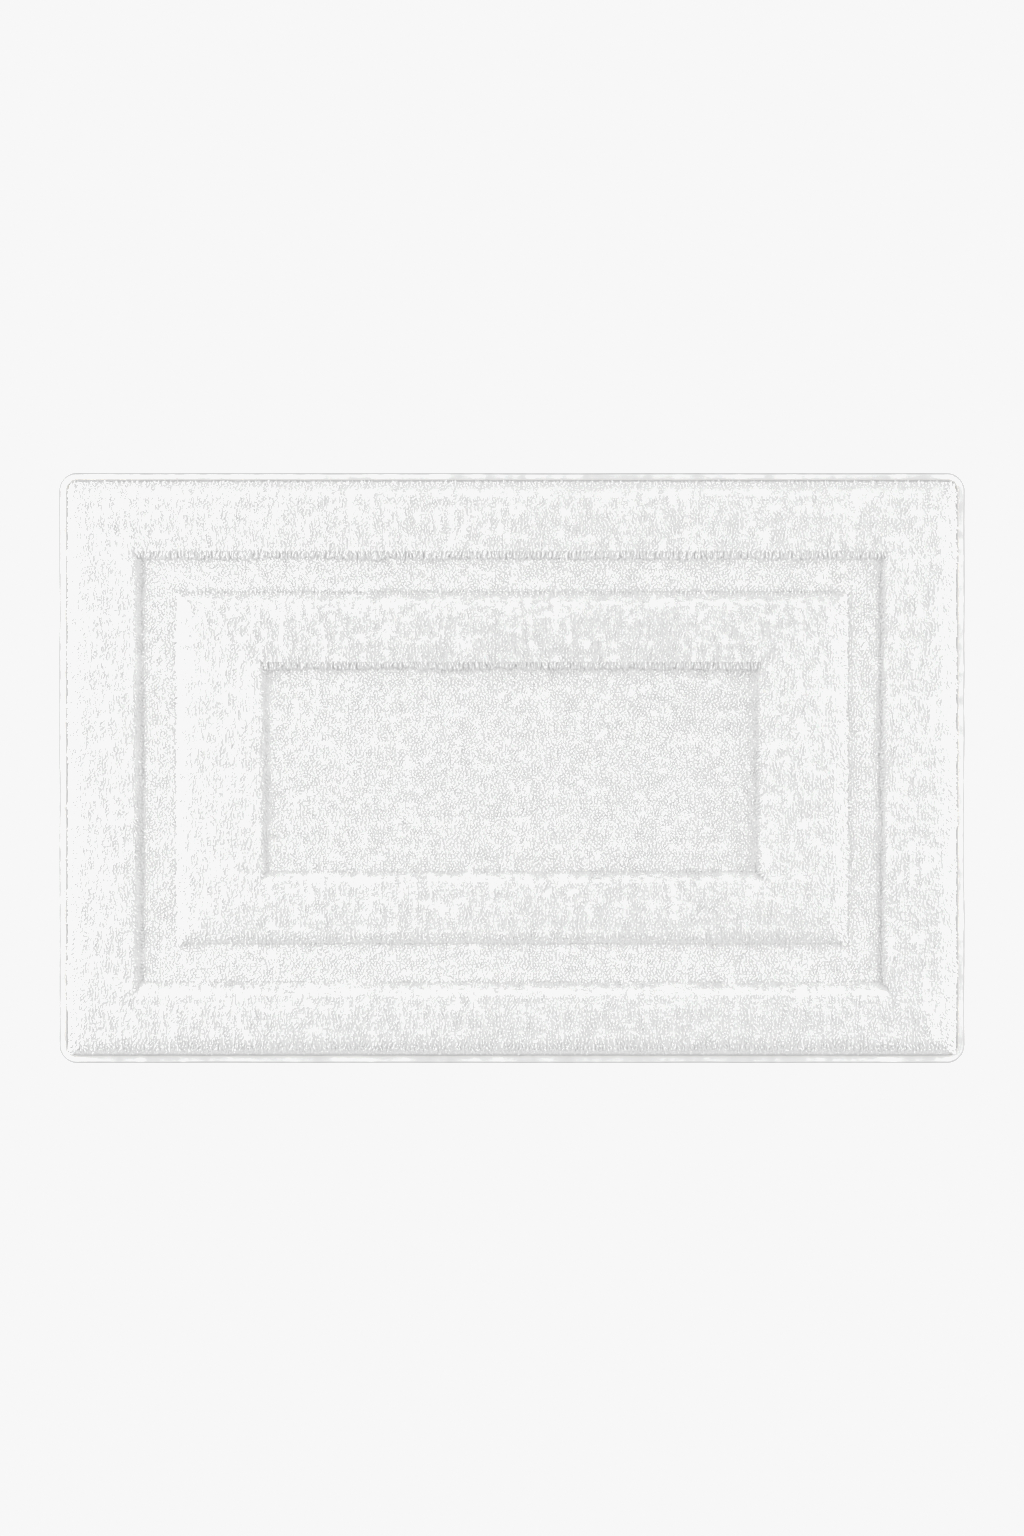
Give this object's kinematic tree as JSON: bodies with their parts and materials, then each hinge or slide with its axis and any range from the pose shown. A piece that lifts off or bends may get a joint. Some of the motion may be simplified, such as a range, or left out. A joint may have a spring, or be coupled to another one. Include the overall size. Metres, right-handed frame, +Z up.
{
  "type": "bath mat",
  "caption": "Rectangular tufted bath mat with a tall carved outer frame, a tall inner frame, a low channel and centre panel, a bound edge and a non-slip back.",
  "frame": {"origin": "on the floor, under the middle of the mat", "axes": "+X along the mat's length, +Y across its width, +Z up from the floor to the tips of the pile"},
  "size_m": [0.905, 0.59, 0.023],
  "materials": {
    "tall_pile": "matte",
    "low_pile": "matte",
    "binding_tape": "matte",
    "sewing_thread": "satin",
    "woven_cloth": "matte",
    "lock_latex": "matte",
    "nonslip_latex": "matte",
    "label_satin": "satin"
  },
  "bodies": {
    "root": {"nonslip_backing": "nonslip_latex", "care_label": "label_satin", "tuft_lock_coat": "lock_latex", "tufting_cloth": "woven_cloth", "edge_binding": "binding_tape", "needle_thread": "sewing_thread", "bobbin_thread": "sewing_thread", "outer_frame_pile": "tall_pile", "channel_pile": "low_pile", "inner_frame_pile": "tall_pile", "centre_pile": "low_pile"}
  },
  "joints": []
}
